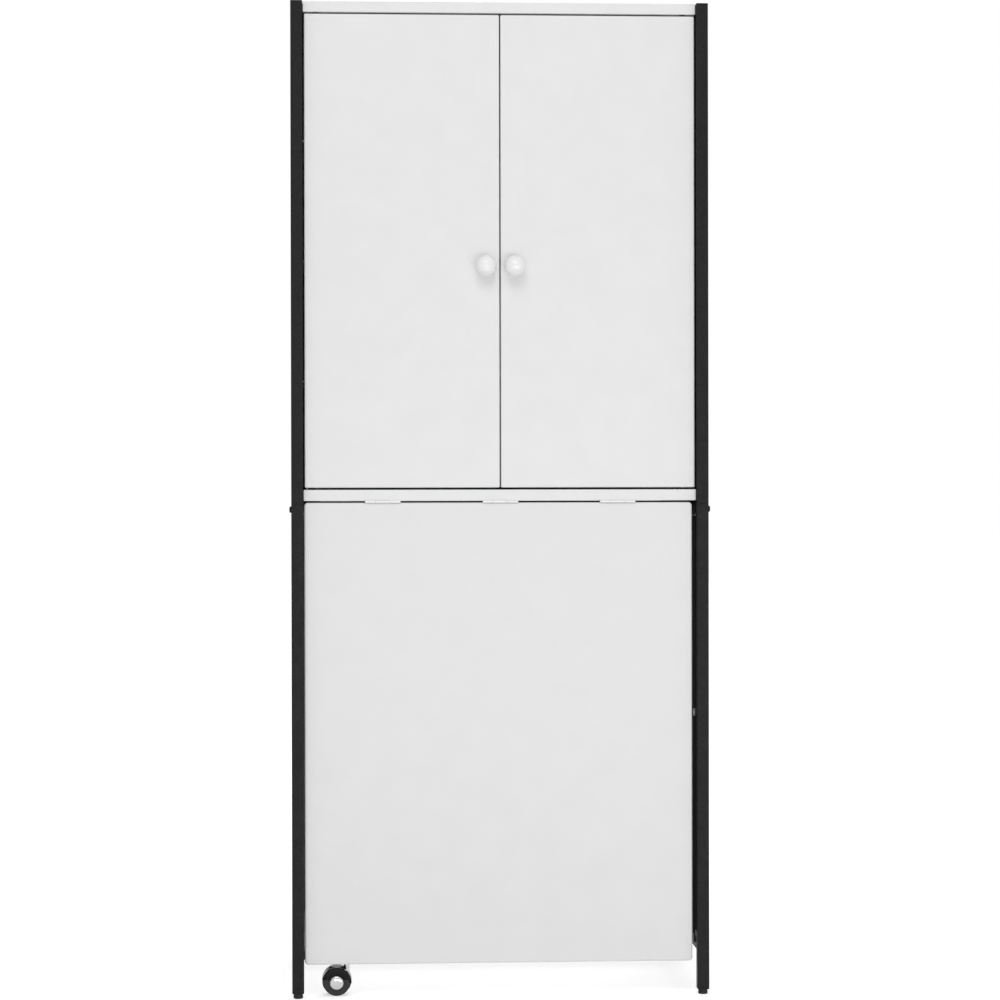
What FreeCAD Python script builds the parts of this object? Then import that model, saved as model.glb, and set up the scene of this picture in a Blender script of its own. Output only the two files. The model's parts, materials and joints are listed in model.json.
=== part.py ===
import FreeCAD, Part
import os
import re
import Sketcher

# Sewing armoire: a tall two-door cupboard on a black square-tube frame, with a drop leaf below it
# and a gate leg on a caster behind the leaf. Millimetres, +Z up, front towards -Y.
# The origin is the middle of the footprint on the floor.

doc = FreeCAD.newDocument("SewingArmoire")
sheet = doc.addObject("Spreadsheet::Sheet", "Dims")

SIZES = {
    # Frame
    "height": 1690, "width": 710, "depth": 400, "tube": 20, "tube_wall": 1.5, "tube_round": 1.2,
    "seam": 838, "low_rail": 74, "tab_length": 30, "tab_reach": 25, "tab_thick": 2, "tab_inset": 85,
    # Clearances
    "run_gap": 0.05, "fit_gap": 0.05, "rest_gap": 0.3, "plug_gap": 0.2,
    # Feet and the joint between the upper and lower posts
    "foot_height": 9.5, "foot_flange": 1, "foot_pad": 8.2, "foot_plug": 22, "foot_bevel": 1.5,
    "connector": 80, "bolt_drop": 9.5, "bolt_radius": 3, "bolt_head": 5.5, "bolt_proud": 3.4,
    "bolt_length": 15, "bar_plug": 18, "bar_clear": 1,
    # Boards, panels and shelves
    "board": 18, "table": 19, "table_rise": 5, "setback": 10, "board_gap": 0.5, "board_round": 1.5,
    "panel": 12, "panel_recess": 4, "back": 3, "back_inset": 7,
    "shelf": 18, "shelf_first": 1051, "shelf_pitch": 207, "shelf_gap": 1.5, "shelf_setback": 34,
    "peg_radius": 2.5, "peg_depth": 8, "peg_bearing": 9, "peg_inset": 40,
    "screw_radius": 2, "screw_head": 4, "screw_cap": 2, "screw_length": 14, "back_screw_pitch": 280,
    # Doors
    "door": 18, "door_side": 2.6, "door_middle": 2, "door_top": 3, "door_bottom": 3.4, "door_round": 2.5,
    "pivot_inset": 20, "pivot_back": 9, "pivot_radius": 3, "pivot_grip": 14, "pivot_reach": 9,
    "bush_radius": 4.5, "bush_depth": 10, "collar_radius": 5,
    "knob_radius": 18, "knob_reach": 38, "knob_neck": 8, "knob_foot": 11, "knob_foot_thick": 2.5,
    "knob_offset": 24.8, "knob_height": 1241, "knob_grip": 12,
    "catch_length": 40, "catch_width": 14, "catch_height": 12, "catch_offset": 45,
    "strike_length": 30, "strike_height": 12, "strike_thick": 1.2,
    # Drop leaf and its butt hinges
    "leaf": 19, "leaf_clear": 7.1, "leaf_left": 1.5, "leaf_right": 7.5, "leaf_round": 3, "leaf_corner": 6,
    "hinge_gap": 3, "hinge_length": 60, "hinge_pitch": 200, "hinge_plate": 1.2, "hinge_width": 18,
    "barrel": 2, "barrel_stand": 0.3, "barrel_pin": 1.1, "knuckle": 17, "knuckle_gap": 0.8,
    "hinge_screw": 1.5, "hinge_screw_head": 3, "hinge_screw_pitch": 40, "hinge_screw_length": 13,
    # Gate leg
    "gate_inset": 6.5, "gate_gap": 2, "gate_foot": 105, "gate_drop": 0.5, "leg_inset": 72, "leg_clear": 11.1,
    "gate_pin": 4, "gate_pin_reach": 12, "gate_bush": 15, "bracket": 4, "bracket_width": 24,
    "bracket_reach": 20, "bracket_wall": 3, "bracket_drop": 16, "cap_plug": 12,
    "stop_height": 473, "stop_tall": 13, "stop_thick": 1.6, "stop_width": 7,
    # Caster
    "wheel": 23, "wheel_width": 11, "wheel_round": 2.5, "trail": 17, "floor_gap": 0.3,
    "hood_gap": 0.8, "hood": 1.6, "hood_rise": 4, "web": 14, "web_drop": 12, "wheel_gap": 0.6,
    "cheek": 1.5, "cheek_rise": 6, "cheek_gap": 1, "neck": 12.5, "neck_foot": 17, "neck_tall": 12,
    "neck_rise": 0.2,
    "axle": 3, "axle_end": 1, "cap_radius": 12, "cap_rise": 6,
    "stem": 5, "stem_sink": 22, "stem_grip": 25, "socket": 30,
}
for row, (alias, size) in enumerate(SIZES.items(), start=1):
    sheet.set("A%d" % row, alias)
    sheet.set("B%d" % row, str(size))
    sheet.setAlias("B%d" % row, alias)
doc.recompute()

pieces = {}

# Places that several pieces share, as formulas of the sizes above
POST_FRONT = "((knob_reach - setback - depth) / 2)"
POST_BACK = f"({POST_FRONT} + depth)"
FACE = f"({POST_FRONT} + setback)"
INSIDE = "(width / 2 - tube)"
BACK_REAR = f"({POST_BACK} - back_inset)"
BOARD_REAR = f"({BACK_REAR} - back)"
TABLE_LOW = "(seam + table_rise)"
TABLE_TOP = f"({TABLE_LOW} + table)"
TOP_LOW = "(height - board)"
DOOR_LOW = f"({TABLE_TOP} + door_bottom)"
DOOR_HIGH = f"({TOP_LOW} - door_top)"
DOOR_BACK = f"({FACE} + door)"
PIVOT_X = f"({INSIDE} - door_side - pivot_inset)"
PIVOT_Y = f"({FACE} + pivot_back)"
LEAF_TOP = f"({TABLE_LOW} - hinge_gap)"
LEAF_BACK = f"({FACE} + leaf)"
HINGE_Y = f"({FACE} - barrel - barrel_stand)"
HINGE_Z = f"({TABLE_LOW} - hinge_gap / 2)"
GATE_X = f"({INSIDE} - gate_inset)"
GATE_Y = f"({LEAF_BACK} + gate_gap + tube / 2)"
GATE_TOP = "(seam - tube - gate_drop)"
LEG_X = f"(leg_inset - {INSIDE})"
LEAF_RAISED = f"({HINGE_Z} - barrel - barrel_stand - leaf)"
AXLE_X = f"({LEG_X} - trail)"
AXLE_Z = "(wheel + floor_gap)"
HOOD_INNER = "(wheel + hood_gap)"
HOOD_OUTER = f"({HOOD_INNER} + hood)"
HOOD_WIDTH = "(web + 2 * (2 * wheel_gap + wheel_width + cheek))"
HOOD_TOP = f"({AXLE_Z} + {HOOD_OUTER} + neck_rise)"
STEM_LOW = f"({HOOD_TOP} - stem_sink)"
LEG_FOOT = f"({HOOD_TOP} + leg_clear)"
LEAF_LOW = f"({HOOD_TOP} + leaf_clear)"
BORE = "(tube - 2 * tube_wall)"
PLUG = f"({BORE} - 2 * plug_gap)"


def linked(text):
    """Puts the sheet's name before each alias of a formula."""
    def name(word):
        return "Dims." + word.group() if word.group() in SIZES else word.group()
    return re.sub(r"[a-z_]+", name, text)


def bind(item, **formulas):
    for name, text in formulas.items():
        item.setExpression(name, linked(text))


def place(item, spot):
    for axis, text in zip("xyz", spot):
        item.setExpression("Placement.Base." + axis, linked(text))


def box(name, corner, size):
    item = doc.addObject("Part::Box", name)
    bind(item, Length=size[0], Width=size[1], Height=size[2])
    place(item, corner)
    return item


def plug_box(name, centre, side, low, tall):
    """An upright square block about a centre line."""
    corner = (f"{centre[0]} - {side} / 2", f"{centre[1]} - {side} / 2", low)
    return box(name, corner, (side, side, tall))


TURNS = {
    "x": FreeCAD.Rotation(FreeCAD.Vector(0, 1, 0), 90),
    "-x": FreeCAD.Rotation(FreeCAD.Vector(0, 1, 0), -90),
    "y": FreeCAD.Rotation(FreeCAD.Vector(1, 0, 0), -90),
    "-y": FreeCAD.Rotation(FreeCAD.Vector(1, 0, 0), 90),
    "z": FreeCAD.Rotation(),
    "-z": FreeCAD.Rotation(FreeCAD.Vector(1, 0, 0), 180),
}


def rod(name, start, along, radius, length):
    item = doc.addObject("Part::Cylinder", name)
    item.Placement.Rotation = TURNS[along]
    bind(item, Radius=radius, Height=length)
    place(item, start)
    return item


def cone(name, start, along, radius, end_radius, length):
    item = doc.addObject("Part::Cone", name)
    item.Placement.Rotation = TURNS[along]
    bind(item, Radius1=radius, Radius2=end_radius, Height=length)
    place(item, start)
    return item


def fuse(name, items):
    joined = doc.addObject("Part::MultiFuse", name)
    joined.Shapes = items
    joined.Refine = True
    return joined


def cut(name, base, tools):
    result = doc.addObject("Part::Cut", name)
    result.Base = base
    result.Tool = tools[0] if len(tools) == 1 else fuse(name + "_cuts", tools)
    return result


def group(name, items):
    bundle = doc.addObject("Part::Compound", name)
    bundle.Links = items
    return bundle


def keep(label, item):
    item.Label = label
    pieces[label] = item
    return item


def round_edges(name, base, radius, chosen):
    """Rounds the edges of a solid for which chosen(edge) is true."""
    doc.recompute()
    item = doc.addObject("Part::Fillet", name)
    item.Base = base
    item.Edges = [(i, radius, radius) for i, edge in enumerate(base.Shape.Edges, start=1) if chosen(edge)]
    return item


def runs_along(axis):
    def test(edge):
        step = edge.Vertexes[-1].Point - edge.Vertexes[0].Point
        return abs(getattr(step, axis)) > 0.99 * step.Length
    return test


def bar(name, corner, length, along):
    """A square bar with rounded long edges."""
    size = [length if axis == along else "tube" for axis in "xyz"]
    blank = box(name + "_blank", corner, size)
    return round_edges(name, blank, float(sheet.tube_round), runs_along(along))


def tube(name, corner, length, along, closed_top=False):
    """A square tube; an upright one can be closed at its top."""
    spot = [f"{c} + tube_wall" for c in corner]
    size = [BORE] * 3
    i = "xyz".index(along)
    spot[i] = f"{corner[i]} - tube_wall"
    size[i] = length if closed_top else f"{length} + 2 * tube_wall"
    return cut(name, bar(name + "_outer", corner, length, along), [box(name + "_bore", spot, size)])


def slab(name, corner, size, rounding=None, corner_round=None):
    """A flat board as a padded rectangle. Its corners as seen from the front, then its edges, are rounded."""
    body = doc.addObject("PartDesign::Body", name)
    plane = next(f for f in body.Origin.OriginFeatures if f.Role == "XY_Plane")
    sketch = body.newObject("Sketcher::SketchObject", name + "_outline")
    sketch.AttachmentSupport = (plane, "")
    sketch.MapMode = "FlatFace"
    corners = [FreeCAD.Vector(x, y, 0) for x, y in ((0, 0), (100, 0), (100, 50), (0, 50))]
    for i in range(4):
        sketch.addGeometry(Part.LineSegment(corners[i], corners[(i + 1) % 4]))
    for i in range(4):
        sketch.addConstraint(Sketcher.Constraint("Coincident", i, 2, (i + 1) % 4, 1))
        sketch.addConstraint(Sketcher.Constraint("Vertical" if i % 2 else "Horizontal", i))
    sketch.addConstraint(Sketcher.Constraint("Coincident", 0, 1, -1, 1))
    for side, kind, text in ((0, "DistanceX", size[0]), (1, "DistanceY", size[1])):
        index = sketch.addConstraint(Sketcher.Constraint(kind, side, 1, side, 2, 50))
        sketch.renameConstraint(index, kind)
        sketch.setExpression("Constraints." + kind, linked(text))
    pad = body.newObject("PartDesign::Pad", name + "_pad")
    pad.Profile = sketch
    bind(pad, Length=size[2])
    last = pad
    from_front = runs_along("y")
    if corner_round:
        doc.recompute()
        last = body.newObject("PartDesign::Fillet", name + "_corners")
        last.Base = (pad, ["Edge%d" % i for i, edge in enumerate(pad.Shape.Edges, 1) if from_front(edge)])
        bind(last, Radius=corner_round)
    if rounding:
        doc.recompute()
        # Round corners leave only seams along Y, and those stay as they are
        fillet = body.newObject("PartDesign::Fillet", name + "_edges")
        fillet.Base = (last, ["Edge%d" % i for i, edge in enumerate(last.Shape.Edges, 1)
                              if not (corner_round and from_front(edge))])
        bind(fillet, Radius=rounding)
    place(body, corner)
    return body


def screw(name, start, along, radius, head, cap, length):
    """A plain screw: a flat round cap behind start, and a shank from start along the given way."""
    back = along[1:] if along.startswith("-") else "-" + along
    top = rod(name + "_cap", start, back, head, cap)
    shank = rod(name + "_shank", start, along, radius, length)
    return fuse(name, [top, shank])


SIDES = (("left", "-1", "x", "-x"), ("right", "1", "-x", "x"))
POST_Y = (POST_FRONT, f"({POST_BACK} - tube)")


def post_x(sign):
    """The lower x of a post on one side."""
    return f"({sign} * ({INSIDE} + tube / 2) - tube / 2)"


def rail(name, sign, low):
    """A front-to-back tube between the two posts of one side."""
    return tube(name, (post_x(sign), f"({POST_FRONT} + tube)", low), "(depth - 2 * tube)", "y")


# Where the welded tabs and their screws stand, front and rear
TAB_Y = (f"({POST_FRONT} + tab_inset)", f"({POST_BACK} - tab_inset - tab_length)")
# Each crossbar's name, front face, middle height and bolt height. The upper rear one is clear below the post
# connectors; the front one lies under the table board, behind the gate's upper bracket.
REAR_BAR = f"({POST_BACK} - tube)"
FRONT_BAR = f"({GATE_Y} + bracket_width / 2 + bar_clear)"
BARS = (("rear_lower_crossbar", REAR_BAR, "(low_rail + tube / 2)", "(low_rail + tube / 2)"),
        ("rear_upper_crossbar", REAR_BAR, "(seam - connector / 2 - tube)", "(seam - connector / 2 - tube)"),
        ("front_crossbar", FRONT_BAR, f"({TABLE_LOW} - board_gap - tube / 2)", "(seam - bolt_drop)"))


def frames():
    """Two welded frames a side: the upper one carries the boards on tabs, the lower one stands on the feet."""
    for side, sign, inward, outward in SIDES:
        x = post_x(sign)
        upper = [tube(f"{side}_upper_post{i}", (x, y, "seam"), "(height - seam)", "z", closed_top=True)
                 for i, y in enumerate(POST_Y)]
        upper += [rail(f"{side}_base_rail", sign, "seam"), rail(f"{side}_top_rail", sign, "(height - tube)")]
        holes = []
        for level, low in (("table", TABLE_LOW), ("top", TOP_LOW)):
            for i, y in enumerate(TAB_Y):
                tab_x = f"({sign} * ({INSIDE} - tab_reach / 2) - tab_reach / 2)"
                upper.append(box(f"{side}_{level}_tab{i}", (tab_x, y, f"{low} - tab_thick"),
                                 ("tab_reach", "tab_length", "tab_thick")))
                spot = (f"{sign} * ({INSIDE} - tab_reach / 2)", f"{y} + tab_length / 2",
                        f"{low} - 2 * tab_thick")
                holes.append(rod(f"{side}_{level}_tab_hole{i}", spot, "z", "screw_radius + fit_gap",
                                 "3 * tab_thick"))
        keep(f"{side}_upper_frame", cut(f"{side}_upper_frame", fuse(f"{side}_upper_weld", upper), holes))

        lower = [tube(f"{side}_lower_post{i}", (x, y, "foot_height"), "(seam - foot_height)", "z")
                 for i, y in enumerate(POST_Y)]
        lower += [rail(f"{side}_low_rail", sign, "low_rail"), rail(f"{side}_seam_rail", sign, "(seam - tube)")]
        outside = f"{sign} * (width / 2 + tube_wall)"
        holes = [rod(f"{side}_bolt_hole{i}", (outside, f"{y} + tube / 2", "seam - bolt_drop"), inward,
                     "bolt_radius + fit_gap", "3 * tube_wall") for i, y in enumerate(POST_Y)]
        holes += [rod(f"{side}_{name}_hole", (outside, f"{y} + tube / 2", bolt_z), inward,
                      "bolt_radius + fit_gap", "tube + 2 * tube_wall") for name, y, z, bolt_z in BARS]
        keep(f"{side}_lower_frame", cut(f"{side}_lower_frame", fuse(f"{side}_lower_weld", lower), holes))


def post_joints():
    """Square plugs inside the posts across the seam, bolted from outside, and glides in the open feet."""
    plugs, bolts, feet = [], [], []
    for side, sign, inward, outward in SIDES:
        for i, y in enumerate(POST_Y):
            centre = (f"({sign} * ({INSIDE} + tube / 2))", f"({y} + tube / 2)")
            block = plug_box(f"{side}_plug{i}", centre, PLUG, "seam - connector / 2", "connector")
            skin = f"{sign} * width / 2"
            hole = rod(f"{side}_plug_hole{i}", (skin, centre[1], "seam - bolt_drop"), inward,
                       "bolt_radius + fit_gap", "bolt_length + fit_gap")
            plugs.append(cut(f"{side}_connector{i}", block, [hole]))
            bolts.append(screw(f"{side}_bolt{i}", (skin, centre[1], "seam - bolt_drop"), inward,
                               "bolt_radius", "bolt_head", "bolt_proud", "bolt_length"))
            spigot = plug_box(f"{side}_foot_plug{i}", centre, PLUG, "foot_height", "foot_plug")
            blank = plug_box(f"{side}_foot_flange{i}", centre, "tube", "foot_height - foot_flange",
                             "foot_flange")
            flange = round_edges(f"{side}_foot_flange_round{i}", blank, float(sheet.tube_round),
                                 runs_along("z"))
            pad = rod(f"{side}_foot_pad{i}", (*centre, "foot_bevel"), "z", "foot_pad",
                      "foot_height - foot_flange - foot_bevel")
            tip = cone(f"{side}_foot_tip{i}", (*centre, "0"), "z", "foot_pad - foot_bevel", "foot_pad",
                       "foot_bevel")
            feet.append(fuse(f"{side}_foot{i}", [spigot, flange, pad, tip]))
    keep("post_connectors", group("post_connectors", plugs))
    keep("joint_bolts", group("joint_bolts", bolts))
    keep("foot_glides", group("foot_glides", feet))


def crossbars():
    """Two tubes across the back and one across the front, with plugged ends that the side bolts screw into."""
    bolts = []
    for name, y, z, bolt_z in BARS:
        length = f"(2 * ({INSIDE} - board_gap))"
        corner = (f"board_gap - {INSIDE}", y, f"{z} - tube / 2")
        outer = bar(name + "_outer", corner, length, "x")
        bore = (f"board_gap + bar_plug - {INSIDE}", f"{y} + tube_wall", f"{z} - tube / 2 + tube_wall")
        holes = [box(name + "_bore", bore, (f"{length} - 2 * bar_plug", BORE, BORE))]
        for side, sign, inward, outward in SIDES:
            skin = (f"{sign} * width / 2", f"{y} + tube / 2", bolt_z)
            reach = "(tube + bolt_length)"
            holes.append(rod(f"{name}_{side}_hole", skin, inward, "bolt_radius + fit_gap",
                             f"{reach} + fit_gap"))
            bolts.append(screw(f"{name}_{side}_bolt", skin, inward, "bolt_radius", "bolt_head", "bolt_proud",
                               reach))
        keep(name, cut(name, outer, holes))
    keep("crossbar_bolts", group("crossbar_bolts", bolts))


def hinge_screw_spots():
    """Places of the leaf hinge screws in plan."""
    return [(f"{i} * hinge_pitch + {j} * hinge_screw_pitch / 2", f"({FACE} + hinge_width / 2)")
            for i in (-1, 0, 1) for j in (-1, 1)]


def boards():
    """Top board and table board, screwed to the tabs, with bores for the door pivots and hinge screws."""
    span = f"(2 * ({INSIDE} - board_gap))"
    screws = []
    for name, low, thick in (("top_board", TOP_LOW, "board"), ("table_board", TABLE_LOW, "table")):
        blank = slab(name + "_blank", (f"board_gap - {INSIDE}", FACE, low),
                     (span, f"({BOARD_REAR} - {FACE})", thick), "board_round")
        holes = []
        for side, sign, inward, outward in SIDES:
            for i, y in enumerate(TAB_Y):
                spot = (f"{sign} * ({INSIDE} - tab_reach / 2)", f"{y} + tab_length / 2", f"{low} - tab_thick")
                holes.append(rod(f"{name}_{side}_hole{i}", spot, "z", "screw_radius + fit_gap",
                                 "screw_length + fit_gap"))
                screws.append(screw(f"{name}_{side}_screw{i}", spot, "z", "screw_radius", "screw_head",
                                    "screw_cap", "screw_length"))
            way = "z" if name == "top_board" else "-z"
            start = low if name == "top_board" else f"{low} + {thick}"
            pivot = (f"{sign} * {PIVOT_X}", PIVOT_Y, start)
            holes.append(rod(f"{name}_{side}_pivot", pivot, way, "bush_radius + fit_gap",
                             "bush_depth + fit_gap"))
        for i in (-1, 0, 1):
            back_hole = (f"{i} * back_screw_pitch", BOARD_REAR, f"{low} + {thick} / 2")
            holes.append(rod(f"{name}_back_hole{i + 1}", back_hole, "-y", "screw_radius + fit_gap",
                             "screw_length + fit_gap"))
        if name == "table_board":
            for i, (x, y) in enumerate(hinge_screw_spots()):
                holes.append(rod(f"hinge_hole{i}", (x, y, low), "z", "hinge_screw + fit_gap",
                                 "hinge_screw_length + fit_gap"))
        keep(name, cut(name, blank, holes))
    keep("board_screws", group("board_screws", screws))


def shelf_low(i):
    return f"(shelf_first + {i} * shelf_pitch)"


def enclosure():
    """Side panels inside the upper frames, a back panel screwed to the boards, and shelves on pegs."""
    pegs, screws = [], []
    peg_y = (f"({FACE} + shelf_setback + peg_inset)", f"({BOARD_REAR} - peg_inset)")
    for side, sign, inward, outward in SIDES:
        face = "(width / 2 - panel_recess - panel)"
        low_x = f"({sign} * ({face} + panel / 2) - panel / 2)"
        blank = slab(f"{side}_side_blank", (low_x, f"{POST_FRONT} + tube + rest_gap", "seam + tube"),
                     ("panel", "depth - 2 * tube - 2 * rest_gap", "height - seam - 2 * tube - rest_gap"))
        holes = []
        for i in range(3):
            for j, y in enumerate(peg_y):
                spot = (f"{sign} * {face}", y, f"{shelf_low(i)} - peg_radius - run_gap")
                holes.append(rod(f"{side}_peg_hole{i}{j}", spot, outward, "peg_radius + fit_gap",
                                 "peg_depth + fit_gap"))
                start = (f"{sign} * ({face} + peg_depth)", spot[1], spot[2])
                reach = f"peg_depth + {face} - {INSIDE} + shelf_gap + peg_bearing"
                pegs.append(rod(f"{side}_peg{i}{j}", start, inward, "peg_radius", reach))
        keep(f"{side}_side_panel", cut(f"{side}_side_panel", blank, holes))
    keep("shelf_pegs", group("shelf_pegs", pegs))

    blank = slab("back_blank", (f"board_gap - {INSIDE}", BOARD_REAR, TABLE_LOW),
                 (f"2 * ({INSIDE} - board_gap)", "back", f"height - {TABLE_LOW}"))
    holes = []
    for level, z in (("low", f"({TABLE_LOW} + table / 2)"), ("high", f"({TOP_LOW} + board / 2)")):
        for i in (-1, 0, 1):
            spot = (f"{i} * back_screw_pitch", BACK_REAR, z)
            holes.append(rod(f"back_{level}_hole{i + 1}", spot, "-y", "screw_radius + fit_gap", "back"))
            screws.append(screw(f"back_{level}_screw{i + 1}", spot, "-y", "screw_radius", "screw_head",
                                "screw_cap", "screw_length"))
    keep("back_panel", cut("back_panel", blank, holes))
    keep("back_panel_screws", group("back_panel_screws", screws))

    for i, name in enumerate(("lower_shelf", "middle_shelf", "upper_shelf")):
        corner = (f"shelf_gap - {INSIDE}", f"{FACE} + shelf_setback", shelf_low(i))
        size = (f"2 * ({INSIDE} - shelf_gap)", f"{BOARD_REAR} - {FACE} - shelf_setback - rest_gap", "shelf")
        keep(name, slab(name, corner, size, "board_round"))


def doors():
    """Inset doors that turn on pins at the top and bottom, each with a ball knob and a strike plate."""
    bushes, catches = [], []
    width = f"({INSIDE} - door_side - door_middle / 2)"
    for side, sign, inward, outward in SIDES:
        pivot_x = f"({sign} * {PIVOT_X})"
        low_x = f"({sign} * (door_middle / 2 + {width} / 2) - {width} / 2)"
        blank = slab(f"{side}_door_blank", (low_x, FACE, DOOR_LOW),
                     (width, "door", f"{DOOR_HIGH} - {DOOR_LOW}"), "door_round")
        holes, pins = [], []
        ends = (("low", DOOR_LOW, "z", "-z", "door_bottom", TABLE_TOP),
                ("high", DOOR_HIGH, "-z", "z", "door_top", TOP_LOW))
        for end, z, into, out, gap, seat in ends:
            spot = (pivot_x, PIVOT_Y, z)
            holes.append(rod(f"{side}_{end}_bore", spot, into, "pivot_radius + fit_gap",
                             "pivot_grip + fit_gap"))
            grip = rod(f"{side}_{end}_pin_grip", spot, into, "pivot_radius", "pivot_grip")
            reach = rod(f"{side}_{end}_pin_reach", spot, out, "pivot_radius", f"{gap} + pivot_reach")
            pins.append(fuse(f"{side}_{end}_pin", [grip, reach]))
            sleeve = rod(f"{side}_{end}_sleeve", (pivot_x, PIVOT_Y, seat), out, "bush_radius", "bush_depth")
            collar = rod(f"{side}_{end}_collar", (pivot_x, PIVOT_Y, seat), into, "collar_radius",
                         f"{gap} - rest_gap")
            bore = rod(f"{side}_{end}_bush_bore", spot, out, "pivot_radius + run_gap",
                       f"{gap} + pivot_reach + rest_gap")
            whole = fuse(f"{side}_{end}_bush_body", [sleeve, collar])
            bushes.append(cut(f"{side}_{end}_bush", whole, [bore]))
        keep(f"{side}_door_pivots", group(f"{side}_door_pivots", pins))

        knob_x = f"({sign} * knob_offset)"
        front = (knob_x, FACE, "knob_height")
        behind = (knob_x, DOOR_BACK, "knob_height")
        holes.append(rod(f"{side}_knob_hole", behind, "-y", "screw_radius + fit_gap", "door"))
        keep(f"{side}_door_panel", cut(f"{side}_door_panel", blank, holes))
        ball = doc.addObject("Part::Sphere", f"{side}_knob_ball")
        bind(ball, Radius="knob_radius")
        place(ball, (knob_x, f"{FACE} - knob_reach + knob_radius", "knob_height"))
        foot = rod(f"{side}_knob_foot", front, "-y", "knob_foot", "knob_foot_thick")
        neck = rod(f"{side}_knob_neck", front, "-y", "knob_neck", "knob_reach - knob_radius")
        thread = rod(f"{side}_knob_thread", front, "-y", "screw_radius + fit_gap", "knob_grip + fit_gap")
        corner = (f"{knob_x} - knob_radius", FACE, "knob_height - knob_radius")
        door_side = box(f"{side}_knob_door_side", corner, ("2 * knob_radius", "knob_radius", "2 * knob_radius"))
        whole = fuse(f"{side}_knob_body", [ball, foot, neck])
        keep(f"{side}_knob", cut(f"{side}_knob", whole, [thread, door_side]))
        keep(f"{side}_knob_screw", screw(f"{side}_knob_screw", behind, "-y", "screw_radius", "screw_head",
                                         "screw_cap", "door + knob_grip"))

        catch_low = f"{TOP_LOW} - catch_height"
        plate = (f"{sign} * catch_offset - strike_length / 2", DOOR_BACK, catch_low)
        keep(f"{side}_strike_plate", box(f"{side}_strike_plate", plate, (
            "strike_length", "strike_thick", "strike_height - door_top - door_round")))
        corner = (f"{sign} * catch_offset - catch_length / 2", f"{DOOR_BACK} + strike_thick + rest_gap",
                  catch_low)
        catches.append(box(f"{side}_catch", corner, ("catch_length", "catch_width", "catch_height")))
    keep("door_pivot_bushes", group("door_pivot_bushes", bushes))
    keep("door_catches", group("door_catches", catches))


def hinge_half(name, left, plate_low, knuckles, notches):
    """A hinge plate with its own knuckles, notched round the other half's knuckles, before it is bored."""
    plate = box(name + "_plate", (left, HINGE_Y, plate_low),
                ("hinge_length", f"{FACE} - {HINGE_Y} + hinge_width", "hinge_plate"))
    barrels = [rod(f"{name}_knuckle{i}", (start, HINGE_Y, HINGE_Z), "x", "barrel", length)
               for i, (start, length) in enumerate(knuckles)]
    clear = "(barrel + barrel_stand)"
    around = f"2 * {clear}"
    low = (f"{HINGE_Y} - {clear}", f"{HINGE_Z} - {clear}")
    tools = [box(f"{name}_notch{i}", (start, *low), (length, around, around))
             for i, (start, length) in enumerate(notches)]
    return fuse(name + "_body", [plate, *barrels]), tools


def hinge_screws(name, centre, start, way):
    """The two countersunk screws of a hinge plate and the holes they sit in."""
    screws, sinks = [], []
    for i in (-1, 1):
        spot = (f"{centre} + {i} * hinge_screw_pitch / 2", f"{FACE} + hinge_width / 2", start)
        sinks.append(cone(f"{name}_sink{i + 1}", spot, way, "hinge_screw_head + fit_gap",
                          "hinge_screw + fit_gap", "hinge_plate"))
        head = cone(f"{name}_screw_head{i + 1}", spot, way, "hinge_screw_head", "hinge_screw", "hinge_plate")
        shank = rod(f"{name}_screw_shank{i + 1}", spot, way, "hinge_screw", "hinge_plate + hinge_screw_length")
        screws.append(fuse(f"{name}_screw{i + 1}", [head, shank]))
    return screws, sinks


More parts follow.
